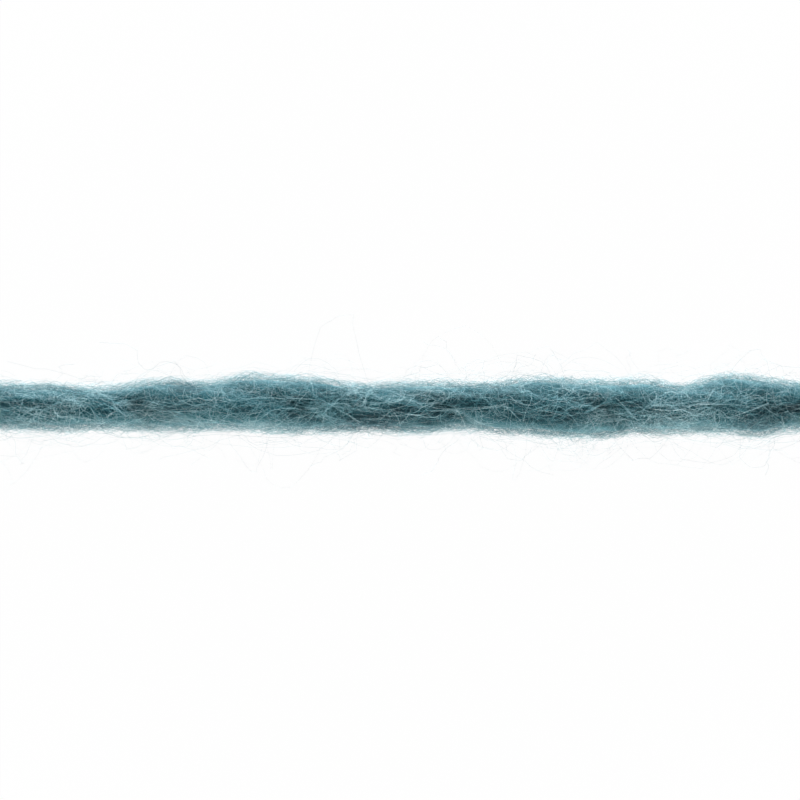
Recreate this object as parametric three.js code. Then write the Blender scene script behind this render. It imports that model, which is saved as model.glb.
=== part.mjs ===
// A cut length of thick knitting yarn: one soft roving with a right-hand twist, lying straight.
// X runs along the strand, Z is up, and the origin is on the surface under its middle. Millimetres.
import * as THREE from "three";
import { mergeVertices } from "three/addons/utils/BufferGeometryUtils.js";

const STRAND_LENGTH = 100;
const AXIS_HEIGHT = 2.15;
const UNDERSIDE_REACH = 2.45;

// The strand is cut square and its ends are a little loose: they narrow over END_TAPER.
const END_TAPER = 4;
const END_SHARE = 0.5;

// The twist leaves creases in the surface: how deep and how wide across they are.
const CREASE_DEPTH = 0.6;
const CREASE_HALF_WIDTH = 30;

// Where the strand lies on the surface its creases are pressed out.
const PRESSED_OUT = 40;

const STEPS = 150;
const SIDES = 28;
const WELD = 1e-4;

// A row for each swelling and each neck: how far the strand reaches from its axis
// to the far side (+Y) and to the near side (-Y), and how high it stands.
const SECTIONS = [
  { x: -50.0, far: 2.35, near: 2.35, height: 4.1 },
  { x: -41.0, far: 2.4, near: 2.35, height: 4.2 },
  { x: -37.5, far: 2.2, near: 2.85, height: 4.2 },
  { x: -33.0, far: 2.45, near: 2.6, height: 4.15 },
  { x: -31.0, far: 2.4, near: 2.35, height: 4.1 },
  { x: -28.0, far: 2.2, near: 2.45, height: 4.15 },
  { x: -25.0, far: 2.7, near: 2.5, height: 4.3 },
  { x: -22.5, far: 3.05, near: 2.65, height: 4.4 },
  { x: -20.0, far: 3.05, near: 3.0, height: 4.5 },
  { x: -18.0, far: 3.05, near: 2.7, height: 4.55 },
  { x: -15.5, far: 3.35, near: 2.5, height: 4.6 },
  { x: -10.5, far: 3.0, near: 2.75, height: 4.6 },
  { x: -8.2, far: 2.9, near: 2.7, height: 4.5 },
  { x: -5.5, far: 2.75, near: 3.1, height: 4.4 },
  { x: -2.0, far: 2.6, near: 2.7, height: 4.25 },
  { x: 2.5, far: 2.55, near: 2.7, height: 4.2 },
  { x: 5.5, far: 2.55, near: 2.45, height: 4.25 },
  { x: 8.2, far: 2.8, near: 3.0, height: 4.4 },
  { x: 13.0, far: 3.1, near: 2.95, height: 4.6 },
  { x: 18.5, far: 2.7, near: 3.3, height: 4.7 },
  { x: 22.0, far: 2.7, near: 3.1, height: 4.5 },
  { x: 24.5, far: 2.85, near: 3.3, height: 4.4 },
  { x: 28.0, far: 2.5, near: 2.9, height: 4.3 },
  { x: 31.0, far: 3.3, near: 2.75, height: 4.5 },
  { x: 33.5, far: 3.4, near: 2.95, height: 4.7 },
  { x: 36.0, far: 3.0, near: 3.1, height: 4.65 },
  { x: 39.0, far: 2.75, near: 2.55, height: 4.5 },
  { x: 50.0, far: 2.45, near: 2.4, height: 4.1 },
];

// The routes of the creases: the angle round the strand, in degrees, at each place along it.
// 0 is the far side, 90 the top, 180 the near side and 270 the underside.
const CREASES = [
  [
    { x: -50.0, angle: -230 },
    { x: -40.0, angle: -110 },
    { x: -31.5, angle: 0 },
    { x: -26.0, angle: 90 },
    { x: -19.5, angle: 180 },
    { x: -4.0, angle: 360 },
    { x: 4.5, angle: 452 },
    { x: 8.0, angle: 540 },
    { x: 29.0, angle: 720 },
    { x: 36.8, angle: 810 },
    { x: 50.0, angle: 980 },
  ],
  [
    { x: -50.0, angle: -350 },
    { x: -37.0, angle: -180 },
    { x: -20.5, angle: 0 },
    { x: -10.0, angle: 90 },
    { x: -5.5, angle: 180 },
    { x: 9.0, angle: 360 },
    { x: 20.0, angle: 450 },
    { x: 24.0, angle: 540 },
    { x: 41.0, angle: 720 },
    { x: 50.0, angle: 820 },
  ],
];

// A smooth curve through one column of a table, read at x.
function along(table, column, x) {
  const last = table.length - 1;
  const next = table.findIndex((row) => row.x >= x);
  const end = next < 0 ? last : Math.max(next, 1);
  const [from, to] = [table[end - 1], table[end]];
  const before = table[Math.max(end - 2, 0)];
  const after = table[Math.min(end + 1, last)];
  const span = to.x - from.x;
  const change = to[column] - from[column];
  const leaving = ((to[column] - before[column]) / (to.x - before.x)) * span;
  const arriving = ((after[column] - from[column]) / (after.x - from.x)) * span;
  const t = (x - from.x) / span;
  const bend = 3 * change - 2 * leaving - arriving;
  const twist = leaving + arriving - 2 * change;
  return from[column] + t * (leaving + t * (bend + t * twist));
}

// How far two directions are apart, in degrees, up to 180.
function apart(a, b) {
  return Math.abs(THREE.MathUtils.euclideanModulo(a - b + 180, 360) - 180);
}

// How deep the creases are at one point of the surface.
function creaseDepth(x, angle) {
  const pressed = THREE.MathUtils.smoothstep(apart(angle, 270), 0.5 * PRESSED_OUT, 1.5 * PRESSED_OUT);
  const bell = (route) => Math.exp(-((apart(angle, along(route, "angle", x)) / CREASE_HALF_WIDTH) ** 2));
  return CREASE_DEPTH * pressed * Math.max(...CREASES.map(bell));
}

// The share of its full width that the strand keeps near its cut ends.
function endShare(x) {
  const toEnd = (STRAND_LENGTH / 2 - Math.abs(x)) / END_TAPER;
  const round = Math.sqrt(1 - (1 - Math.min(toEnd, 1)) ** 2);
  return END_SHARE + (1 - END_SHARE) * round;
}

// The point of the surface at a place along the strand and an angle round it.
function surfacePoint(x, angle, target) {
  const turn = THREE.MathUtils.degToRad(angle);
  const [side, rise] = [Math.cos(turn), Math.sin(turn)];
  const width = along(SECTIONS, side > 0 ? "far" : "near", x);
  const height = rise > 0 ? along(SECTIONS, "height", x) - AXIS_HEIGHT : UNDERSIDE_REACH;
  const depth = creaseDepth(x, angle);
  const share = endShare(x);
  const y = side * (width - depth) * share;
  const z = AXIS_HEIGHT + rise * (height - depth) * share;
  return target.set(x, y, Math.max(z, 0));
}

function strandGeometry() {
  const corner = (_, i) => {
    const turn = (2 * Math.PI * i) / SIDES;
    return new THREE.Vector2(Math.cos(turn), Math.sin(turn));
  };
  const section = new THREE.Shape(Array.from({ length: SIDES }, corner));
  const end = new THREE.Vector3(STRAND_LENGTH / 2, 0, 0);
  const line = new THREE.LineCurve3(end.clone().negate(), end);
  const geometry = new THREE.ExtrudeGeometry(section, { extrudePath: line, steps: STEPS });
  const position = geometry.getAttribute("position");
  const point = new THREE.Vector3();
  for (let i = 0; i < position.count; i++) {
    point.fromBufferAttribute(position, i);
    const angle = THREE.MathUtils.radToDeg(Math.atan2(point.z, point.y));
    surfacePoint(point.x, angle, point);
    position.setXYZ(i, point.x, point.y, point.z);
  }
  geometry.deleteAttribute("normal");
  geometry.deleteAttribute("uv");
  const closed = mergeVertices(geometry, WELD);
  closed.computeVertexNormals();
  return closed;
}

const tealWool = new THREE.MeshStandardMaterial({ color: 0x4f7f89, roughness: 0.95, metalness: 0 });

const strand = new THREE.Mesh(strandGeometry(), tealWool);
strand.name = "yarn_strand";

const yarn = new THREE.Group();
yarn.add(strand);

export default yarn;
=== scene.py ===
"""The looks of a cut length of thick teal knitting yarn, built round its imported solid.

The strand is a packed core wrapped in single wool fibres: fibres along the lay, a fuzz of
crossing ones, pale strays, a short nap, a thin halo of hairs and a soft brush at each cut
end. Lengths are in millimetres and angles in degrees where nothing else is said.
"""

import math
from typing import NamedTuple

import bpy
import numpy as np
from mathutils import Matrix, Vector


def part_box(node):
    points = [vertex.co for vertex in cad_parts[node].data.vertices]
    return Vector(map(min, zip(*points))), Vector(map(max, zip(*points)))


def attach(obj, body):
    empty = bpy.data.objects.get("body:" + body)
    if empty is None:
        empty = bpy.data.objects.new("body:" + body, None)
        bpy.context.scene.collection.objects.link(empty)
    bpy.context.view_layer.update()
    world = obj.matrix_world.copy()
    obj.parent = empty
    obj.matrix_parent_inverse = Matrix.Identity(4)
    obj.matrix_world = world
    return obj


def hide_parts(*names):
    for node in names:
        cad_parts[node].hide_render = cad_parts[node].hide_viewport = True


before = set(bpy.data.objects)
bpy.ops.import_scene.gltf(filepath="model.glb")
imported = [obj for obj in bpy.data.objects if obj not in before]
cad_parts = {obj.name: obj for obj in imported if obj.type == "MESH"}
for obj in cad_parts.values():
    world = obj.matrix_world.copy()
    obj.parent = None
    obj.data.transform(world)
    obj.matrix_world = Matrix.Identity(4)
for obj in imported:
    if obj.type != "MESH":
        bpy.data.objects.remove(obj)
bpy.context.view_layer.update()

MM = 0.001
NODE = "yarn_strand"

# The map in which the fibres carry their tone and their painted side light, and the core its places.
WOOL_MAP = "OFBake"

# The photograph's frame: its width on the strand, and how far its middle lies beyond the axis.
PICTURE_WIDTH = 80.0
PICTURE_MIDDLE_Y = 0.6

# The strand in millimetres, from the frame.
low, high = (np.array(corner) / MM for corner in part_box(NODE))
STRAND_LENGTH = high[0] - low[0]
STRAND_END = STRAND_LENGTH / 2
AXIS_HEIGHT = 2.15

# A radian round the strand is about MEAN_RADIUS long on its surface. No point of the wool comes
# nearer to the axis than LEAST_REACH, and no fibre's own middle comes nearer to the floor than
# FIBRE_CLEARANCE.
MEAN_RADIUS = 2.4
LEAST_REACH = 0.05
FIBRE_CLEARANCE = 0.03
UNDERSIDE = 270

# The routes of the two twist creases: the angle round the strand in degrees at each place along it.
# 0 is the far side, 90 the top, 180 the near side and 270 the underside.
FIRST_CREASE = [
    (-50.0, -230),
    (-40.0, -110),
    (-31.5, 0),
    (-26.0, 90),
    (-19.5, 180),
    (-4.0, 360),
    (4.5, 452),
    (8.0, 540),
    (29.0, 720),
    (36.8, 810),
    (50.0, 980),
]
SECOND_CREASE = [
    (-50.0, -350),
    (-37.0, -180),
    (-20.5, 0),
    (-10.0, 90),
    (-5.5, 180),
    (9.0, 360),
    (20.0, 450),
    (24.0, 540),
    (41.0, 720),
    (50.0, 820),
]


def smooth_route(route):
    """The route as two columns, finely stepped and with its corners rounded."""
    places, angles = np.array(route).T
    step, spread, beyond = 0.25, 1.4, 8
    x = np.arange(-STRAND_END - beyond, STRAND_END + beyond + step, step)
    slope_in = (angles[1] - angles[0]) / (places[1] - places[0])
    slope_out = (angles[-1] - angles[-2]) / (places[-1] - places[-2])
    angle = np.interp(x, places, angles)
    angle += np.minimum(x - places[0], 0) * slope_in
    angle += np.maximum(x - places[-1], 0) * slope_out
    kernel = np.exp(-0.5 * (np.arange(-3 * spread, 3 * spread + step, step) / spread) ** 2)
    kernel /= kernel.sum()
    middle = np.convolve(angle, kernel, "same")
    edge = len(kernel)
    middle[:edge], middle[-edge:] = angle[:edge], angle[-edge:]
    return x, middle


ROUTES = [smooth_route(FIRST_CREASE), smooth_route(SECOND_CREASE)]


def apart(angle, other):
    """How far round one direction is from another, from -180 to 180."""
    return (angle - other + 180) % 360 - 180


def lay_angle(x, place):
    """The direction, in degrees, of the wool that started at this place round the strand.

    Place runs from 0 at the first crease, over 180 at the second, to 360 at the first again.
    """
    first = np.interp(x, *ROUTES[0])
    second = np.interp(x, *ROUTES[1]) + 360
    half = place / 180
    return np.where(
        half < 1,
        first + (second - first) * half,
        second + (first + 360 - second) * (half - 1),
    )


def lay_place(x, angle):
    """The place round the strand, as in lay_angle, of the wool that lies in this direction."""
    first = np.interp(x, *ROUTES[0])
    gap = np.interp(x, *ROUTES[1]) + 360 - first
    turn = (angle - first) % 360
    return np.where(turn < gap, turn / gap * 180, 180 + (turn - gap) / (360 - gap) * 180)


def solid_surface():
    """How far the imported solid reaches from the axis, by station along it and by direction."""
    direction_step, same_station = 3.0, 0.01
    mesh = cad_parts[NODE].data
    flat = np.empty(len(mesh.vertices) * 3, np.float32)
    mesh.vertices.foreach_get("co", flat)
    points = flat.reshape(-1, 3).astype(float) / MM
    stations = np.unique(points[:, 0].round(3))
    directions = np.arange(0, 360, direction_step)
    reach = np.empty((len(stations), len(directions)))
    for i, station in enumerate(stations):
        ring = points[np.abs(points[:, 0] - station) < same_station]
        y, z = ring[:, 1], ring[:, 2] - AXIS_HEIGHT
        angle = np.degrees(np.arctan2(z, y)) % 360
        order = np.argsort(angle)
        reach[i] = np.interp(directions, angle[order], np.hypot(y, z)[order], period=360)
    return stations, directions, reach


STATIONS, DIRECTIONS, REACH = solid_surface()


def reach_at(x, angle):
    """The solid's reach from the axis at places along it and directions in degrees."""
    first, last = STATIONS[0], STATIONS[-1]
    share = (np.clip(x, first, last) - first) / (last - first)
    station = share * (len(STATIONS) - 1)
    i = np.minimum(station.astype(int), len(STATIONS) - 2)
    past_station = station - i
    turn = (angle % 360) / 360 * len(DIRECTIONS)
    j = turn.astype(int) % len(DIRECTIONS)
    k = (j + 1) % len(DIRECTIONS)
    past_turn = turn - np.floor(turn)
    here = REACH[i, j] * (1 - past_turn) + REACH[i, k] * past_turn
    ahead = REACH[i + 1, j] * (1 - past_turn) + REACH[i + 1, k] * past_turn
    return here * (1 - past_station) + ahead * past_station


def wool_point(x, angle, lift):
    """Points in millimetres at a lift above the solid's surface, and never below the floor."""
    turn = np.radians(angle)
    reach = np.maximum(reach_at(x, angle) + lift, LEAST_REACH)
    y = reach * np.cos(turn)
    z = np.maximum(AXIS_HEIGHT + reach * np.sin(turn), FIBRE_CLEARANCE)
    return np.stack([x, y, z], -1)


def sideways(angle):
    """How far a direction faces one of the two sides: 0 on top and underneath, 1 at the sides."""
    return np.cos(np.radians(angle)) ** 2


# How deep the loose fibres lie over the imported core, and how much less at the two sides.
LOOSE_DEPTH = 0.75
THINNER_AT_SIDES = 0.15


def loose_depth(angle):
    """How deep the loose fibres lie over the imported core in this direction."""
    return LOOSE_DEPTH - THINNER_AT_SIDES * sideways(angle)


# How far a crease reaches round the strand, how strong it is beside a full hollow, and how far
# round the underside is pressed flat.
CREASE_HALF_WIDTH = 30
CREASE_SHARE = 0.45
PRESSED_HALF_WIDTH = 40

# Hollows between the lobes: place along, direction round, half length, half width and depth.
HOLLOWS = [
    (-39.3, 36, 1.4, 0.7, 0.8),
    (-39.0, 80, 3.0, 0.5, 0.7),
    (-35.3, 86, 1.5, 0.7, 0.6),
    (-32.3, 36, 1.6, 0.7, 0.8),
    (-30.5, 104, 3.0, 0.4, 0.3),
    (-28.8, 78, 1.3, 0.8, 0.8),
    (-27.5, 108, 2.5, 0.5, 0.6),
    (-24.9, 68, 1.6, 0.6, 0.7),
    (-23.0, 98, 1.3, 0.7, 0.9),
    (-22.2, 84, 3.0, 0.7, 0.4),
    (-21.3, 32, 1.7, 0.8, 1.2),
    (-15.5, 100, 2.0, 0.6, 0.4),
    (-15.0, 70, 1.3, 0.5, 0.5),
    (-11.0, 126, 1.5, 1.0, 0.7),
    (-8.0, 72, 2.6, 0.8, 1.0),
    (-9.0, 142, 1.2, 0.8, 0.8),
    (-7.3, 46, 1.6, 0.8, 0.9),
    (-6.8, 106, 1.5, 0.7, 0.7),
    (-3.8, 124, 2.6, 0.9, 2.0),
    (-2.5, 140, 3.5, 1.0, 1.8),
    (0.2, 101, 2.4, 0.8, 1.3),
    (2.5, 138, 3.5, 0.8, 1.1),
    (2.8, 113, 2.8, 0.9, 1.3),
    (5.4, 74, 1.0, 0.5, 0.3),
    (6.4, 84, 2.6, 0.9, 1.3),
    (7.0, 48, 1.5, 0.8, 0.7),
    (10.6, 62, 2.2, 0.8, 0.8),
    (14.2, 76, 3.0, 0.9, 1.0),
    (15.5, 116, 5.0, 1.0, 1.0),
    (22.8, 124, 1.2, 0.7, 0.9),
    (22.6, 82, 2.3, 0.8, 1.1),
    (23.3, 45, 1.2, 0.7, 0.5),
    (28.5, 74, 2.0, 0.6, 0.25),
    (31.0, 40, 1.2, 0.7, 1.0),
    (32.2, 92, 2.5, 0.5, 0.6),
    (35.5, 138, 3.0, 0.8, 1.0),
    (35.2, 152, 2.5, 0.7, 1.0),
    (35.3, 113, 2.5, 0.8, 1.0),
    (36.5, 42, 1.5, 0.6, 0.5),
    (39.8, 99, 2.4, 0.9, 2.3),
]

# Tufts that stand proud and take painted light that makes them paler, with the same columns; the
# last is their height.
TUFTS = [
    (-38.0, 53, 2.5, 0.6, 0.9),
    (-38.0, 145, 2.0, 0.7, 0.8),
    (-35.0, 48, 1.3, 0.6, 0.8),
    (-35.0, 112, 1.4, 0.5, 0.4),
    (-33.0, 135, 7.0, 0.5, 0.6),
    (-32.2, 86, 1.4, 0.7, 0.8),
    (-29.3, 42, 2.5, 0.8, 1.4),
    (-27.0, 76, 1.2, 0.8, 1.5),
    (-25.0, 80, 1.2, 1.2, 0.4),
    (-22.0, 137, 2.6, 0.8, 2.0),
    (-19.3, 136, 1.5, 0.7, 0.8),
    (-17.5, 44, 3.0, 0.6, 0.7),
    (-13.3, 151, 1.5, 0.8, 2.0),
    (-13.5, 45, 1.5, 0.7, 0.9),
    (-11.0, 78, 1.0, 0.6, 0.5),
    (-4.6, 42, 2.0, 0.8, 1.4),
    (-2.7, 78, 1.4, 0.6, 1.2),
    (-1.0, 67, 3.5, 0.7, 1.1),
    (2.8, 50, 1.8, 0.9, 1.5),
    (3.1, 67, 1.5, 0.8, 2.0),
    (5.2, 114, 1.1, 0.8, 2.0),
    (7.0, 149, 1.5, 0.8, 1.6),
    (11.0, 92, 1.2, 0.7, 0.6),
    (17.4, 38, 1.8, 0.8, 1.2),
    (19.0, 68, 1.4, 0.6, 0.8),
    (20.2, 108, 1.3, 0.8, 1.0),
    (19.3, 122, 1.4, 0.8, 1.3),
    (25.5, 80, 1.2, 0.6, 0.5),
    (28.0, 48, 2.5, 0.7, 1.2),
    (26.5, 135, 4.0, 0.9, 1.2),
    (28.6, 83, 2.0, 0.6, 0.3),
    (29.0, 110, 2.5, 0.7, 1.0),
    (35.0, 66, 1.4, 0.6, 0.9),
    (37.2, 86, 1.0, 0.6, 0.8),
    (39.5, 136, 1.3, 0.9, 1.4),
]


def patches(table, x, angle):
    """The strongest of the table's patches at places on the strand, 0 where there is none."""
    total = np.zeros(np.broadcast(x, angle).shape)
    for along, direction, half_length, half_width, strength in table:
        across = np.radians(apart(angle, direction)) * MEAN_RADIUS
        away = ((x - along) / half_length) ** 2 + (across / half_width) ** 2
        total = np.maximum(total, strength * np.exp(-away))
    return total


def hollow(x, angle):
    """How deep a place lies in a crease or a hollow, from 0 on the lobes."""
    deepest = np.zeros(np.broadcast(x, angle).shape)
    for route in ROUTES:
        off_crease = apart(angle, np.interp(x, *route))
        deepest = np.maximum(deepest, np.exp(-((off_crease / CREASE_HALF_WIDTH) ** 2)))
    under = np.abs(apart(angle, UNDERSIDE))
    open_air = np.clip(under / PRESSED_HALF_WIDTH - 0.5, 0, 1)
    return np.maximum(CREASE_SHARE * deepest * open_air, patches(HOLLOWS, x, angle))


def rolling_field(seed, shortest, longest, fewest, most):
    """A smooth random field over the strand's surface, about -1 to 1.

    Its waves are shortest to longest millimetres long, and go round the strand fewest to most
    times.
    """
    draw = np.random.default_rng(seed)
    parts = 14
    length = draw.uniform(shortest, longest, parts) * draw.choice([-1, 1], parts)
    times = draw.integers(fewest, most + 1, parts)
    phase = draw.uniform(0, 2 * math.pi, parts)

    def field(x, place):
        total = np.zeros(np.broadcast(x, place).shape)
        for i in range(parts):
            total += np.sin(2 * math.pi * x / length[i] + times[i] * np.radians(place) + phase[i])
        return total / math.sqrt(parts)

    return field


# How the lay wanders, and where the fibres gather in bundles.
flow = rolling_field(seed=3, shortest=6, longest=15, fewest=1, most=4)
bundles = rolling_field(seed=4, shortest=9, longest=24, fewest=5, most=13)


def waves(draw, count, steps, size, fewest, most):
    """Smooth random waviness, one row for each fibre, of fewest to most cycles along it."""
    t = np.linspace(0, 1, steps)[None, :]
    total = np.zeros((count, steps))
    for part in range(3):
        cycles = draw.uniform(fewest, most, (count, 1))
        phase = draw.uniform(0, 2 * math.pi, (count, 1))
        share = draw.uniform(0.3, 1.0, (count, 1)) / (part + 1)
        total += share * np.sin(2 * math.pi * cycles * (part + 1) * t + phase)
    return total * size


# A fibre is a tube of this many sides, and its surface keeps this far off the floor.
TUBE_SIDES = 3
TUBE_CLEARANCE = 0.002

# How the wool map holds a fibre: its tone goes across, a little different on each side of the tube
# and never to the map's edge. How much painted side light it takes goes up, from SIDE_LIGHT_EDGE
# over SIDE_LIGHT_SPAN, and rises along each fibre by a share SIDE_LIGHT_RISE, so that a fibre
# covers an area of the map.
TONE_STEP = 0.004
TONE_EDGE = 0.01
SIDE_LIGHT_EDGE = 0.02
SIDE_LIGHT_SPAN = 0.9
SIDE_LIGHT_RISE = 0.05


def unit(vectors):
    """The same directions at length one."""
    return vectors / np.maximum(np.linalg.norm(vectors, axis=2, keepdims=True), 1e-9)


def tube_points(paths, radii, seed):
    """The corners of the rings round the paths, by fibre, step and corner."""
    along = unit(np.gradient(paths, axis=1))
    guide = np.random.default_rng(seed).normal(size=(len(paths), 1, 3))
    first = unit(np.cross(along, guide))
    second = np.cross(along, first)
    turn = 2 * math.pi * np.arange(TUBE_SIDES) / TUBE_SIDES
    ring = first[:, :, None] * np.cos(turn)[:, None] + second[:, :, None] * np.sin(turn)[:, None]
    points = paths[:, :, None] + ring * radii[:, :, None, None]
    points[..., 2] = np.maximum(points[..., 2], TUBE_CLEARANCE)
    return points


def tube_faces(numbers):
    """The triangles of closed tubes, from the numbers of their corners."""
    a, b = numbers[:, :-1], numbers[:, 1:]
    c, d = np.roll(a, -1, axis=2), np.roll(b, -1, axis=2)
    walls = np.stack([np.stack([a, c, d], -1), np.stack([a, d, b], -1)], -2).reshape(-1, 3)
    caps = np.concatenate([numbers[:, 0, ::-1], numbers[:, -1]])
    return np.concatenate([walls, caps]).astype(np.int32)


def tube_places(tone, side_light, count, steps):
    """Where the corners lie in the wool map."""
    tones = np.broadcast_to(np.reshape(tone, (count, -1)), (count, steps))
    across = tones[:, :, None] + (np.arange(TUBE_SIDES) - 1) * TONE_STEP
    rim_light = np.broadcast_to(np.reshape(side_light, (-1, 1)), (count, steps))
    rim_light = rim_light + np.linspace(0, SIDE_LIGHT_RISE, steps)
    up = np.broadcast_to(SIDE_LIGHT_EDGE + SIDE_LIGHT_SPAN * rim_light[:, :, None], across.shape)
    return np.stack([across.clip(TONE_EDGE, 1 - TONE_EDGE), up], -1).reshape(-1, 2)


def set_wool_map(mesh, places, corners):
    """Gives the mesh its wool map, from the vertices' places and the corners' vertices."""
    layer = mesh.uv_layers.new(name=WOOL_MAP)
    layer.uv.foreach_set("vector", places[corners].astype(np.float32).reshape(-1))


def add_piece(name, mesh, material):
    """A new object in the scene with this mesh and material."""
    mesh.materials.append(material)
    piece = bpy.data.objects.new(name, mesh)
    bpy.context.scene.collection.objects.link(piece)
    return piece


def fibre_tubes(name, paths, radii, tone, side_light, material):
    """One joined mesh of closed three-sided tubes. Paths and radii are in millimetres."""
    count, steps = paths.shape[:2]
    points = tube_points(paths, radii, len(name) * 1000 + count)
    numbers = np.arange(count * steps * TUBE_SIDES).reshape(count, steps, TUBE_SIDES)
    faces = tube_faces(numbers)
    mesh = bpy.data.meshes.new(name)
    mesh.vertices.add(numbers.size)
    mesh.vertices.foreach_set("co", (points.reshape(-1) * MM).astype(np.float32))
    mesh.loops.add(faces.size)
    mesh.loops.foreach_set("vertex_index", faces.reshape(-1))
    mesh.polygons.add(len(faces))
    mesh.polygons.foreach_set("loop_start", np.arange(0, faces.size, 3, dtype=np.int32))
    mesh.polygons.foreach_set("use_smooth", np.ones(len(faces), bool))
    mesh.update(calc_edges=True)
    set_wool_map(mesh, tube_places(tone, side_light, count, steps), faces.reshape(-1))
    return add_piece(name, mesh, material)


def ramp(tree, stops):
    """A colour ramp with the given stops: (place, colour)."""
    node = tree.nodes.new("ShaderNodeValToRGB")
    elements = node.color_ramp.elements
    while len(elements) < len(stops):
        elements.new(0.5)
    for element, (place, colour) in zip(elements, stops):
        element.position = place
        element.color = (*colour, 1)
    return node


# The dye's colour by tone, from deep teal to pale grey-blue.
DYE = [
    (0.0, (0.008, 0.058, 0.078)),
    (0.35, (0.028, 0.180, 0.218)),
    (0.65, (0.122, 0.320, 0.366)),
    (0.85, (0.230, 0.445, 0.496)),
    (1.0, (0.385, 0.600, 0.650)),
]

# Painted light at the sides: the paler, warmer colour mixed in there, and how much of it at the
# most.
SIDE_LIGHT_COLOUR = (0.57, 0.46, 0.43)
SIDE_LIGHT_SHARE = 0.27


def shade_group():
    """Turns a fibre's tone, 0 to 1, into the dyed wool's colour, with painted light at the sides.

    At the sides a paler, warmer painted light is mixed in, most in the palest fibres.
    """
    group = bpy.data.node_groups.new("dyed_wool_with_painted_side_light", "ShaderNodeTree")
    group.interface.new_socket("Tone", in_out="INPUT", socket_type="NodeSocketFloat")
    group.interface.new_socket("Painted Side Light", in_out="INPUT", socket_type="NodeSocketFloat")
    group.interface.new_socket("Color", in_out="OUTPUT", socket_type="NodeSocketColor")
    start = group.nodes.new("NodeGroupInput")
    end = group.nodes.new("NodeGroupOutput")
    colours = ramp(group, DYE)
    rim_light = group.nodes.new("ShaderNodeMapRange")
    rim_light.inputs["From Min"].default_value = SIDE_LIGHT_EDGE + SIDE_LIGHT_RISE
    rim_light.inputs["From Max"].default_value = SIDE_LIGHT_EDGE + SIDE_LIGHT_SPAN
    rim_light.inputs["To Max"].default_value = SIDE_LIGHT_SHARE
    paler = group.nodes.new("ShaderNodeMath")
    paler.operation = "MULTIPLY"
    # Painted side light: a paler, warmer colour mixed into the dye's colour.
    side_lit = group.nodes.new("ShaderNodeMix")
    side_lit.data_type = "RGBA"
    side_lit.inputs["B"].default_value = (*SIDE_LIGHT_COLOUR, 1)
    group.links.new(start.outputs["Tone"], colours.inputs["Fac"])
    group.links.new(start.outputs["Painted Side Light"], rim_light.inputs["Value"])
    group.links.new(start.outputs["Tone"], paler.inputs[0])
    group.links.new(rim_light.outputs["Result"], paler.inputs[1])
    group.links.new(paler.outputs["Value"], side_lit.inputs["Factor"])
    group.links.new(colours.outputs["Color"], side_lit.inputs["A"])
    group.links.new(side_lit.outputs["Result"], end.inputs["Color"])
    return group


def wool_material(name, roughness, sheen):
    """A new Principled material and its tree, with the plain values of dry wool."""
    material = bpy.data.materials.new(name)
    material.use_nodes = True
    tree = material.node_tree
    surface = tree.nodes["Principled BSDF"]
    surface.inputs["Roughness"].default_value = roughness
    surface.inputs["Specular IOR Level"].default_value = 0.15
    surface.inputs["Sheen Weight"].default_value = sheen
    surface.inputs["Sheen Roughness"].default_value = 0.5
    surface.inputs["Sheen Tint"].default_value = (0.80, 0.96, 1.0, 1)
    return material, tree, surface


def wool_places(tree):
    """A node that reads the wool map."""
    places = tree.nodes.new("ShaderNodeUVMap")
    places.uv_map = WOOL_MAP
    return places


def shade_node(tree, group):
    """A node that holds the dyed wool's colours."""
    shade = tree.nodes.new("ShaderNodeGroup")
    shade.node_tree = group
    return shade


def fibre_material(name, group):
    """Wool whose tone and painted side light are read from the fibres' own map."""
    material, tree, surface = wool_material(name, 0.6, 0.1)
    places = wool_places(tree)
    parts = tree.nodes.new("ShaderNodeSeparateXYZ")
    shade = shade_node(tree, group)
    tree.links.new(places.outputs["UV"], parts.inputs["Vector"])
    tree.links.new(parts.outputs["X"], shade.inputs["Tone"])
    tree.links.new(parts.outputs["Y"], shade.inputs["Painted Side Light"])
    tree.links.new(shade.outputs["Color"], surface.inputs["Base Color"])
    return material


# The imported core: how far it stops short of the solid's ends, how much deeper it lies in a full
# hollow and how much painted shade darkens it there, how high its bundles stand, and how far it
# keeps off the floor.
CORE_INSET = 0.5
CORE_HOLLOW_DEPTH = 0.18
CORE_HOLLOW_PAINTED_SHADE = 0.25
CORE_BUNDLE_HEIGHT = 0.05
CORE_CLEARANCE = 0.2
HOLLOW_ATTRIBUTE = "hollow"


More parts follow.
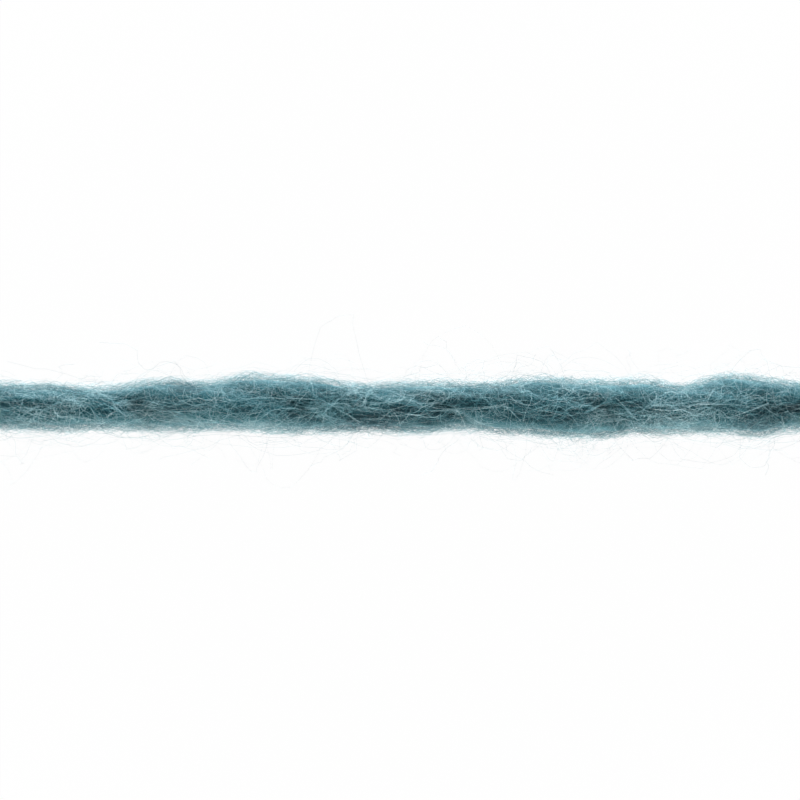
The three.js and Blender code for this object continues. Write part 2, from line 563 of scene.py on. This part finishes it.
def core_material(group):
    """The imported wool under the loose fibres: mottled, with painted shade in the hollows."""
    material, tree, surface = wool_material("packed_wool", 0.9, 1.0)
    places = wool_places(tree)
    stretch = tree.nodes.new("ShaderNodeMapping")
    stretch.inputs["Scale"].default_value = (70, 45, 1)
    mottle = tree.nodes.new("ShaderNodeTexNoise")
    mottle.inputs["Scale"].default_value = 2.2
    mottle.inputs["Detail"].default_value = 5
    mottle.inputs["Roughness"].default_value = 0.65
    tones = tree.nodes.new("ShaderNodeMapRange")
    tones.inputs["From Min"].default_value = 0.3
    tones.inputs["From Max"].default_value = 0.75
    tones.inputs["To Min"].default_value = 0.08
    tones.inputs["To Max"].default_value = 0.38
    # Painted shade: the core's tone is darkened where it lies in a hollow.
    depth = tree.nodes.new("ShaderNodeAttribute")
    depth.attribute_name = HOLLOW_ATTRIBUTE
    hollow_shade = tree.nodes.new("ShaderNodeMath")
    hollow_shade.operation = "MULTIPLY_ADD"
    hollow_shade.inputs[1].default_value = -CORE_HOLLOW_PAINTED_SHADE
    shade = shade_node(tree, group)
    bump = tree.nodes.new("ShaderNodeBump")
    bump.inputs["Strength"].default_value = 0.6
    bump.inputs["Distance"].default_value = 0.1 * MM
    tree.links.new(places.outputs["UV"], stretch.inputs["Vector"])
    tree.links.new(stretch.outputs["Vector"], mottle.inputs["Vector"])
    tree.links.new(mottle.outputs["Fac"], tones.inputs["Value"])
    tree.links.new(depth.outputs["Fac"], hollow_shade.inputs[0])
    tree.links.new(tones.outputs["Result"], hollow_shade.inputs[2])
    tree.links.new(hollow_shade.outputs["Value"], shade.inputs["Tone"])
    tree.links.new(shade.outputs["Color"], surface.inputs["Base Color"])
    tree.links.new(mottle.outputs["Fac"], bump.inputs["Height"])
    tree.links.new(bump.outputs["Normal"], surface.inputs["Normal"])
    return material


def core_strand(name, material):
    """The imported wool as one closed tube, which follows the solid's surface a little inside it."""
    steps, sides = 240, 48
    end = STRAND_END - CORE_INSET
    x = np.linspace(-end, end, steps)[:, None]
    place = np.linspace(0, 360, sides, endpoint=False)[None, :]
    angle = lay_angle(x, place + 0 * x)
    deep = hollow(x, angle)
    inset = loose_depth(angle) + CORE_HOLLOW_DEPTH * deep - CORE_BUNDLE_HEIGHT * bundles(x, place)
    points = wool_point(x + 0 * angle, angle, -inset)
    points[..., 2] = np.maximum(points[..., 2], CORE_CLEARANCE)
    ends = np.stack([points[0].mean(0), points[-1].mean(0)])
    vertices = np.concatenate([points.reshape(-1, 3), ends]) * MM
    ring = np.arange(sides)
    after = np.roll(ring, -1)
    faces = []
    for step in range(steps - 1):
        a, b = step * sides, (step + 1) * sides
        faces += [(a + i, a + k, b + k, b + i) for i, k in zip(ring, after)]
    first, last = steps * sides, steps * sides + 1
    faces += [(first, k, i) for i, k in zip(ring, after)]
    faces += [(last, (steps - 1) * sides + i, (steps - 1) * sides + k) for i, k in zip(ring, after)]
    mesh = bpy.data.meshes.new(name)
    mesh.from_pydata(vertices.tolist(), [], faces)
    mesh.update()
    places = np.empty((len(vertices), 2))
    places[:-2, 0] = np.repeat(np.linspace(0, 1, steps), sides)
    places[:-2, 1] = np.tile(ring / sides, steps)
    places[-2:] = ((0, 0.5), (1, 0.5))
    corners = np.empty(len(mesh.loops), np.int32)
    mesh.loops.foreach_get("vertex_index", corners)
    set_wool_map(mesh, places, corners)
    depths = mesh.attributes.new(HOLLOW_ATTRIBUTE, "FLOAT", "POINT")
    depths.data.foreach_set("value", np.append(deep.reshape(-1), (0, 0)).astype(np.float32))
    mesh.shade_smooth()
    return add_piece(name, mesh, material)


# Tangles of pale stray fibres, with the same columns; the last is how many share them.
TANGLES = [
    (-36.0, 92, 2.5, 1.0, 1.0),
    (-33.0, 88, 1.5, 1.0, 1.0),
    (-26.5, 97, 2.5, 1.0, 1.5),
    (-16.0, 82, 3.0, 1.0, 1.0),
    (-8.2, 92, 3.5, 1.2, 3.5),
    (2.0, 90, 2.5, 1.2, 1.0),
    (7.8, 83, 2.0, 0.9, 1.0),
    (12.8, 76, 2.5, 1.2, 1.2),
    (18.0, 95, 2.0, 1.0, 1.0),
    (24.5, 97, 4.0, 1.2, 3.5),
    (31.0, 85, 1.5, 1.0, 1.2),
    (36.0, 95, 2.5, 1.2, 1.0),
]


class Kind(NamedTuple):
    """A kind of single fibre, with the least and greatest length, radius and tone.

    Such fibres follow a share of the lay's twist, and their headings spread off it. Curl and crimp
    are in radians. Sway is how far they go in and out on the two sides, and layer the share of the
    loose layer that they fill from its top down.
    """

    count: int
    steps: int
    length: tuple
    follow: float
    spread: float
    curl: float
    crimp: float
    sway: float
    layer: float
    radius: tuple
    tone: tuple


LAY = Kind(
    count=1150,
    steps=9,
    length=(3.5, 6.5),
    follow=0.3,
    spread=24,
    curl=0.05,
    crimp=0.22,
    sway=0.13,
    layer=1.0,
    radius=(0.009, 0.014),
    tone=(0.04, 0.39),
)
FUZZ = Kind(
    count=3600,
    steps=9,
    length=(2.5, 5.0),
    follow=0.2,
    spread=50,
    curl=0.15,
    crimp=0.42,
    sway=0.20,
    layer=0.9,
    radius=(0.008, 0.013),
    tone=(0.04, 0.48),
)
STRAY = Kind(
    count=3000,
    steps=10,
    length=(1.8, 5.0),
    follow=0.1,
    spread=72,
    curl=0.20,
    crimp=0.42,
    sway=0.17,
    layer=0.12,
    radius=(0.008, 0.018),
    tone=(0.57, 1.0),
)

# How far the loose layer stands over the solid's own surface.
FLUFF = 0.01

# Painted light at the two sides: how much paler the wool is painted there, and how much more on
# the far one and less on the near one.
SIDE_PAINTED_LIGHT = 0.17
FAR_PAINTED_LIGHT = 0.08

# Fibres start this far from the ends of the strand, and a share of them is kept underneath.
END_MARGIN = 0.5
SPARSE_HALF_WIDTH = 60
SPARSE_SHARE = 0.25

# How closely the fibres of a tangle gather, as a share of its half length and half width.
GATHERING = 0.7

# How far, in degrees, the lay wanders round the strand, and how far fibres reach past its ends.
WANDERING = 4
END_REACH = 0.3

# How a loose fibre is lifted: its ends dip in, it stands higher or lower by chance and sways a
# little on top too, and bundles, hollows and tufts lift it or let it down.
END_DIP = 0.3
UNEVENNESS = 0.10
LEAST_SWAY = 0.03
BUNDLE_LIFT = 0.03
HOLLOW_DEPTH = 0.15
TUFT_LIFT = 0.06

# How painted light raises its tone with its lift, from PALER_FROM on and over PALER_OVER, leaving
# the deeper fibres in painted shade, and what bundles, hollows and tufts do to it: painted shade
# in the hollows and painted light on the tufts.
LIFT_PAINTED_LIGHT = 0.22
PALER_FROM = -0.5
PALER_OVER = 0.9
BUNDLE_PALENESS = 0.03
HOLLOW_PAINTED_SHADE = 0.4
TUFT_PAINTED_LIGHT = 0.3


def side_painted_light(angle):
    """Painted light: how much paler the thin wool at the two sides is painted, a little more on the
    far side.
    """
    return (SIDE_PAINTED_LIGHT + FAR_PAINTED_LIGHT * np.cos(np.radians(angle))) * sideways(angle) ** 2


def middling(draw, count):
    """Random shares from 0 to 1, one row for each fibre, most of them near a half."""
    return draw.beta(2.0, 2.0, (count, 1))


def mostly_fine(draw, count, radius, power):
    """Random radii between the two, one row for each fibre, most of them near the finer one."""
    finest, thickest = radius
    return finest + (thickest - finest) * draw.random((count, 1)) ** power


def spots(draw, count, tangled):
    """Where fibres lie: places along and directions round, fewer of them on the pressed underside.

    A share of them lies in the tangles.
    """
    middle = draw.uniform(-STRAND_END + END_MARGIN, STRAND_END - END_MARGIN, 2 * count)
    angle = draw.uniform(0, 360, 2 * count)
    under = np.abs(apart(angle, UNDERSIDE))
    kept = (under > SPARSE_HALF_WIDTH) | (draw.random(2 * count) < SPARSE_SHARE)
    middle, angle = middle[kept][:count], angle[kept][:count]
    shares = np.array(TANGLES)[:, 4]
    chosen = draw.choice(len(TANGLES), count, p=shares / shares.sum())
    along, direction, half_length, half_width, _ = np.array(TANGLES)[chosen].T
    inside = draw.random(count) < tangled
    middle = np.where(inside, along + draw.normal(0, GATHERING, count) * half_length, middle)
    aside = np.degrees(draw.normal(0, GATHERING, count) * half_width / MEAN_RADIUS)
    angle = np.where(inside, direction + aside, angle)
    return middle[:, None], angle[:, None]


def wool_fibres(name, seed, kind, material, tangled=0.0):
    """Fibres of one kind all round the strand, dipping into it at both ends."""
    draw = np.random.default_rng(seed)
    count, steps = kind.count, kind.steps
    t = np.linspace(0, 1, steps)[None, :]
    length = draw.uniform(*kind.length, (count, 1))
    step = length / (steps - 1)
    way = np.radians(draw.normal(0, kind.spread, (count, 1)))
    way = way + draw.normal(0, kind.curl, (count, 1)) * length * (t - 0.5)
    way = way + waves(draw, count, steps, kind.crimp, fewest=0.7, most=2.2)
    ahead = np.cumsum(np.cos(way) * step, axis=1)
    aside = np.cumsum(np.sin(way) * step, axis=1)
    half = steps // 2
    ahead = ahead - ahead[:, half : half + 1]
    aside = aside - aside[:, half : half + 1]
    middle, start = spots(draw, count, tangled)
    x = np.clip(middle + ahead, -STRAND_END - END_REACH, STRAND_END + END_REACH)
    place = lay_place(middle, start)
    angle = start + kind.follow * (lay_angle(x, place + 0 * x) - lay_angle(middle, place))
    angle += np.degrees(aside / MEAN_RADIUS) + WANDERING * flow(x, start)
    deep = hollow(x, angle)
    proud = patches(TUFTS, x, angle)
    arch = np.sin(math.pi * t) ** 0.4
    side = sideways(start)
    sunk = kind.layer * draw.random((count, 1)) * (loose_depth(start) + FLUFF)
    top = FLUFF - sunk + draw.normal(0, UNEVENNESS, (count, 1)) * (1 + side)
    sway = LEAST_SWAY + kind.sway * side
    lift = top - END_DIP * (1 - arch)
    lift = lift + waves(draw, count, steps, 1, fewest=1.0, most=2.5) * sway
    lift += BUNDLE_LIFT * bundles(x, start) - HOLLOW_DEPTH * deep + TUFT_LIFT * proud
    radii = mostly_fine(draw, count, kind.radius, power=3) * np.ones((1, steps))
    darkest, palest = kind.tone
    tone = darkest + (palest - darkest) * middling(draw, count)
    # Painted light and shade: the tone rises with lift and at the sides, the hollows get painted
    # shade, the tufts painted light, and fibres at the sides take the painted side light.
    tone = tone + LIFT_PAINTED_LIGHT * np.clip(lift - PALER_FROM, 0, PALER_OVER) + side_painted_light(start)
    tone += BUNDLE_PALENESS * bundles(x, start) - HOLLOW_PAINTED_SHADE * deep + TUFT_PAINTED_LIGHT * proud
    return fibre_tubes(name, wool_point(x, angle, lift), radii, tone, side, material)


# The nap: length and slant, how much a hair bows, how high its tip stands and how unevenly, radius,
# tone and how much painted shade darkens it in a hollow. Hairs of the nap and at the cut ends thin
# by TAPER.
NAP_LENGTH = (0.8, 2.0)
NAP_SLANT = (20, 65)
NAP_BOW = 0.25
NAP_TIP = 0.05
NAP_UNEVENNESS = 0.09
NAP_RADIUS = (0.008, 0.017)
NAP_TONE = (0.17, 0.62)
NAP_HOLLOW_PAINTED_SHADE = 0.35
TAPER = 0.4


def nap_fibres(name, seed, count, material):
    """Short fine hairs that stand out of the strand at a slant, in every direction."""
    draw = np.random.default_rng(seed)
    steps = 5
    t = np.linspace(0, 1, steps)[None, :]
    middle, start = spots(draw, count, tangled=0.0)
    length = draw.uniform(*NAP_LENGTH, (count, 1))
    flattest, steepest = NAP_SLANT
    turns = draw.uniform((flattest, 0), (steepest, 360), (count, 2))
    slant, heading = np.radians(turns).T[:, :, None]
    spread = length * np.cos(slant) * (t + NAP_BOW * t ** 2)
    x = (middle + spread * np.cos(heading)).clip(-STRAND_END, STRAND_END)
    angle = start + np.degrees(spread * np.sin(heading) / MEAN_RADIUS)
    side = sideways(start)
    tip = draw.normal(NAP_TIP, NAP_UNEVENNESS, (count, 1)) * (1 + side)
    rise = length * np.sin(slant)
    deep = hollow(x, angle)
    lift = tip - rise * (1 - t) - HOLLOW_DEPTH * deep
    radii = mostly_fine(draw, count, NAP_RADIUS, power=3) * (1 - TAPER * t)
    darkest, palest = NAP_TONE
    # Painted shade darkens the hairs in the hollows, and painted light pales those at the sides.
    tone = darkest + (palest - darkest) * middling(draw, count) - NAP_HOLLOW_PAINTED_SHADE * deep
    tone += side_painted_light(start)
    return fibre_tubes(name, wool_point(x, angle, lift), radii, tone, side, material)


# Single pale strays in plain view, point by point: the place along and the offset to the far side.
PLAIN_STRAYS = [
    ((-34.2, -0.4), (-33.2, 0.0), (-32.5, 0.1), (-31.8, 0.5), (-31.5, 0.6)),
    ((-37.2, 1.2), (-37.5, 0.2), (-37.7, -0.8), (-38.2, -1.9)),
    ((-36.5, 0.6), (-35.8, -0.3), (-35.2, -1.4)),
    ((-28.5, 0.2), (-27.5, -1.0), (-26.9, -1.4)),
    ((-26.9, -1.1), (-25.9, -0.8), (-25.1, -1.1), (-24.7, -1.9), (-24.4, -2.3)),
    ((-16.4, 0.5), (-14.6, 0.9), (-13.0, 1.0), (-11.3, 1.0), (-8.0, 0.9)),
    ((-8.4, 1.0), (-7.2, 0.4), (-6.0, -0.5), (-5.0, -1.1), (-3.7, -2.1)),
    ((-9.5, -1.0), (-8.0, -0.8), (-7.0, -0.2), (-6.2, 0.6), (-5.6, 1.4)),
    ((-8.9, 1.9), (-9.9, 0.8), (-10.3, 0.1), (-10.6, -0.6)),
    ((0.0, -1.3), (1.2, -1.1), (2.2, -1.2), (3.1, -1.5), (4.3, -1.3)),
    ((1.3, -1.1), (2.2, -0.3), (3.0, 0.5), (4.0, 1.0), (4.8, 1.2)),
    ((-0.1, -2.4), (0.6, -1.4), (1.1, -0.5)),
    ((7.7, 0.0), (8.1, -1.0), (8.0, -1.9)),
    ((10.3, 0.1), (11.5, -1.1), (12.0, -1.7)),
    ((13.0, 1.8), (12.9, 0.4), (12.5, -0.5), (12.2, -2.0)),
    ((16.0, 1.5), (16.9, 0.2), (17.6, -0.4)),
    ((17.4, -2.5), (18.7, -1.8), (20.1, -1.2)),
    ((21.0, 1.4), (22.1, 0.1), (23.1, -1.1), (24.1, -1.9)),
    ((27.4, 1.1), (28.1, 0.0), (28.6, -1.2), (29.3, -2.1)),
    ((32.3, -1.4), (33.5, -0.8), (34.7, -0.6), (35.9, 0.1), (36.7, 0.6)),
    ((35.8, 0.2), (36.7, -0.7), (37.6, -1.4)),
    ((38.4, 0.2), (38.5, -0.8), (39.2, -1.4), (40.2, -2.0)),
]


# How far they waver, half the strand's width for their offsets, how high they lie and how deep
# their ends dip in, their radius and their tone.
STRAY_WAVER = 0.05
OFFSET_REACH = 2.8
STRAY_LIFT = 0.15
STRAY_DIP = 0.6
STRAY_RADIUS = (0.011, 0.015)
STRAY_TONE = 0.95


def plain_strays(name, seed, material):
    """The strays that lie in plain view, lightly crimped, with both ends tucked in."""
    draw = np.random.default_rng(seed)
    count, steps = len(PLAIN_STRAYS), 22
    t = np.linspace(0, 1, steps)
    x, aside = np.empty((2, count, steps))
    for i, route in enumerate(PLAIN_STRAYS):
        along, across = np.array(route).T
        stops = np.linspace(0, 1, len(route))
        degree = min(len(route) - 1, 3)
        x[i] = np.polyval(np.polyfit(stops, along, degree), t)
        aside[i] = np.polyval(np.polyfit(stops, across, degree), t)
    x += waves(draw, count, steps, STRAY_WAVER, fewest=1.5, most=4.0)
    aside += waves(draw, count, steps, STRAY_WAVER, fewest=1.5, most=4.0)
    angle = np.degrees(np.arccos((aside / OFFSET_REACH).clip(-1, 1)))
    lift = STRAY_LIFT - STRAY_DIP * (1 - np.sin(math.pi * t[None, :]) ** 0.3)
    radii = draw.uniform(*STRAY_RADIUS, (count, 1)) * np.ones((1, steps))
    tone = np.full(count, STRAY_TONE)
    return fibre_tubes(name, wool_point(x, angle, lift), radii, tone, 0.0, material)


# The halo: how far its hairs keep from the ends, the shape and scale of their random spans and
# heights, the least and greatest height, and which share of the span lies before the middle.
HALO_MARGIN = 2
HALO_SPAN = (2.5, 2.2)
HALO_HEIGHT = (1.0, 1.1)
HALO_LOWEST = 0.2
HALO_HIGHEST = 7
HALO_BEFORE = 0.4

# How a hair of the halo curls at the least and how that grows with its height, the direction under
# the near side where the hairs begin and how far they go from there over the top, how a hair turns
# and waves, the share with a free tip, how deep they are rooted, and their radius and tone.
HALO_CURL = 0.15
HALO_CURL_GROWTH = 0.25
HALO_START = 215
HALO_ROUND = 250
HALO_TURN = 20
HALO_WAVE = 7.0
HALO_FREE = 0.3
HALO_ROOT = 0.5
HALO_RADIUS = (0.003, 0.008)
HALO_TONE = (0.6, 1.0)


def halo_hairs(name, seed, count, material):
    """Hair-thin fibres that stand off the strand in loose curls."""
    draw = np.random.default_rng(seed)
    steps = 10
    t = np.linspace(0, 1, steps)[None, :]
    middle = draw.uniform(-STRAND_END + HALO_MARGIN, STRAND_END - HALO_MARGIN, (count, 1))
    span = draw.choice([-1, 1], (count, 1)) * draw.gamma(*HALO_SPAN, (count, 1))
    height = draw.gamma(*HALO_HEIGHT, (count, 1)).clip(HALO_LOWEST, HALO_HIGHEST)
    curl = HALO_CURL + HALO_CURL_GROWTH * height ** 0.5
    x = middle + span * (t - HALO_BEFORE)
    x = x + waves(draw, count, steps, 1, fewest=0.6, most=1.8) * curl
    x = x.clip(-STRAND_END, STRAND_END)
    start = HALO_START - HALO_ROUND * draw.random((count, 1)) ** 1.3
    angle = start + draw.normal(0, HALO_TURN, (count, 1)) * t
    angle = angle + waves(draw, count, steps, HALO_WAVE, fewest=0.4, most=1.6)
    free = draw.random((count, 1)) < HALO_FREE
    rise = np.where(free, t ** 0.7, np.sin(math.pi * t) ** 0.7)
    lift = -HALO_ROOT + (height + HALO_ROOT) * rise
    lift = lift + waves(draw, count, steps, 0.5, fewest=0.6, most=1.8) * curl * rise
    radii = mostly_fine(draw, count, HALO_RADIUS, power=2) * np.ones((1, steps))
    darkest, palest = HALO_TONE
    tone = darkest + (palest - darkest) * draw.random(count)
    # Every halo hair takes the full painted side light.
    return fibre_tubes(name, wool_point(x, angle, lift), radii, tone, 1.0, material)


# The brush at the cuts: how far inside a fibre starts, where it stops past the cut, how unevenly
# and within which limits, how its direction turns and waves, how it spreads, how deep it sits, how
# its tip wavers, and its radius.
BRUSH_START = (5, 9)
BRUSH_STOP = 0.2
BRUSH_UNEVENNESS = 0.9
BRUSH_SHORTEST = -1.8
BRUSH_LONGEST = 2.4
BRUSH_TURN = 14
BRUSH_WAVE = 6.0
BRUSH_SPREAD = 0.14
BRUSH_DEPTH = 0.25
BRUSH_WAVER = 0.08
BRUSH_RADIUS = (0.009, 0.018)


def end_fibres(name, seed, count, material):
    """The loose ends of the fibres at the two cuts, a short soft brush."""
    draw = np.random.default_rng(seed)
    steps = 10
    t = np.linspace(0, 1, steps)[None, :]
    side = np.where(draw.random((count, 1)) < 0.5, -1.0, 1.0)
    inner = STRAND_END - draw.uniform(*BRUSH_START, (count, 1))
    past_cut = draw.normal(BRUSH_STOP, BRUSH_UNEVENNESS, (count, 1))
    outer = STRAND_END + past_cut.clip(BRUSH_SHORTEST, BRUSH_LONGEST)
    x = side * (inner + (outer - inner) * t)
    angle = draw.uniform(0, 360, (count, 1)) + draw.normal(0, BRUSH_TURN, (count, 1)) * t
    angle += waves(draw, count, steps, BRUSH_WAVE, fewest=0.5, most=2.0)
    depth = np.sqrt(draw.random((count, 1)))
    reach = reach_at(side * inner, angle[:, :1])
    spread = 1 + draw.normal(0.0, BRUSH_SPREAD, (count, 1)) * t ** 2
    lift = reach * depth * spread - reach_at(x, angle) - BRUSH_DEPTH
    lift = lift + waves(draw, count, steps, BRUSH_WAVER, fewest=0.5, most=2.0) * t
    radii = draw.uniform(*BRUSH_RADIUS, (count, 1)) * (1 - TAPER * t)
    tone = middling(draw, count)
    return fibre_tubes(name, wool_point(x, angle, lift), radii, tone, 0.0, material)


# Camera: straight above the strand, at the photograph's frame.
LENS = 105
SENSOR = 36
view_height = AXIS_HEIGHT + PICTURE_WIDTH * LENS / SENSOR
bpy.ops.object.select_all(action="DESELECT")
bpy.ops.object.camera_add(location=(0, PICTURE_MIDDLE_Y * MM, view_height * MM), rotation=(0, 0, 0))
camera = bpy.context.object
camera.name = "picture_camera"
camera.data.lens = LENS
camera.data.sensor_width = SENSOR
camera.data.clip_start = 0.01
camera.data.clip_end = 20
bpy.context.scene.camera = camera

# The strand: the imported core, and the loose fibres with a seed for each lot.
wool_colour = shade_group()
packed = core_material(wool_colour)
laid = fibre_material("laid_wool", wool_colour)

core = core_strand("packed_core", packed)
pieces = [wool_fibres(f"lay_fibres_{i + 1}", 11 + i, LAY, laid) for i in range(2)]
pieces += [wool_fibres(f"fuzz_fibres_{i + 1}", 21 + i, FUZZ, laid) for i in range(2)]
pieces.append(wool_fibres("stray_fibres", 31, STRAY, laid, tangled=0.35))
pieces.append(plain_strays("plain_strays", seed=35, material=laid))
pieces.append(nap_fibres("nap_fibres", seed=37, count=7600, material=laid))
pieces.append(halo_hairs("halo_hairs", seed=41, count=1250, material=laid))
pieces.append(end_fibres("end_fibres", seed=51, count=1050, material=laid))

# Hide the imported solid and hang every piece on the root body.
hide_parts(NODE)
for piece in [core, *pieces]:
    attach(piece, "root")

# The white table that the strand lies on. It is almost black under its own even light, so that it
# shows no shadow: how bright that light is from above, and how much brighter at a low slant.
TABLE_SIZE = 6
TABLE_BASE = (0.01, 0.01, 0.01, 1)
TABLE_WHITE = 0.985
TABLE_GLOSS = 4.0
bpy.ops.object.select_all(action="DESELECT")
bpy.ops.mesh.primitive_plane_add(size=TABLE_SIZE, location=(0, 0, 0))
table_top = bpy.context.object
table_top.name = "white_table"
white = bpy.data.materials.new("white_table_top")
white.use_nodes = True
surface = white.node_tree.nodes["Principled BSDF"]
surface.inputs["Base Color"].default_value = TABLE_BASE
surface.inputs["Roughness"].default_value = 0.8
surface.inputs["Emission Color"].default_value = (1, 1, 1, 1)
slant = white.node_tree.nodes.new("ShaderNodeLayerWeight")
grazing = white.node_tree.nodes.new("ShaderNodeMath")
grazing.operation = "POWER"
grazing.inputs[1].default_value = 2
gloss = white.node_tree.nodes.new("ShaderNodeMath")
gloss.operation = "MULTIPLY_ADD"
gloss.inputs[1].default_value = TABLE_GLOSS
gloss.inputs[2].default_value = TABLE_WHITE
white.node_tree.links.new(slant.outputs["Facing"], grazing.inputs[0])
white.node_tree.links.new(grazing.outputs["Value"], gloss.inputs[0])
white.node_tree.links.new(gloss.outputs["Value"], surface.inputs["Emission Strength"])
table_top.data.materials.append(white)

# The two strip lights, in metres: how far from the strand, how high, how long and how broad.
LIGHT_DISTANCE = 0.5
LIGHT_HEIGHT = 0.010
LIGHT_LENGTH = 1.2
LIGHT_BREADTH = 0.014


def strip_light(name, y, power, colour):
    """A long low light beside the strand that faces it."""
    turn = math.copysign(math.pi / 2, -y)
    place = (0, y, LIGHT_HEIGHT)
    bpy.ops.object.light_add(type="AREA", location=place, rotation=(turn, 0, 0))
    strip = bpy.context.object
    strip.name = name
    strip.data.shape = "RECTANGLE"
    strip.data.size = LIGHT_LENGTH
    strip.data.size_y = LIGHT_BREADTH
    strip.data.energy = power
    strip.data.color = colour


strip_light("far_light", LIGHT_DISTANCE, power=15.2, colour=(0.97, 0.98, 0.98))
strip_light("near_light", -LIGHT_DISTANCE, power=10.7, colour=(0.99, 0.97, 0.93))

# A faint even light from all round.
world = bpy.data.worlds.new("studio")
bpy.context.scene.world = world
world.use_nodes = True
sky = world.node_tree.nodes["Background"]
sky.inputs["Color"].default_value = (1, 1, 1, 1)
sky.inputs["Strength"].default_value = 0.15

bpy.context.scene.view_settings.view_transform = "Standard"
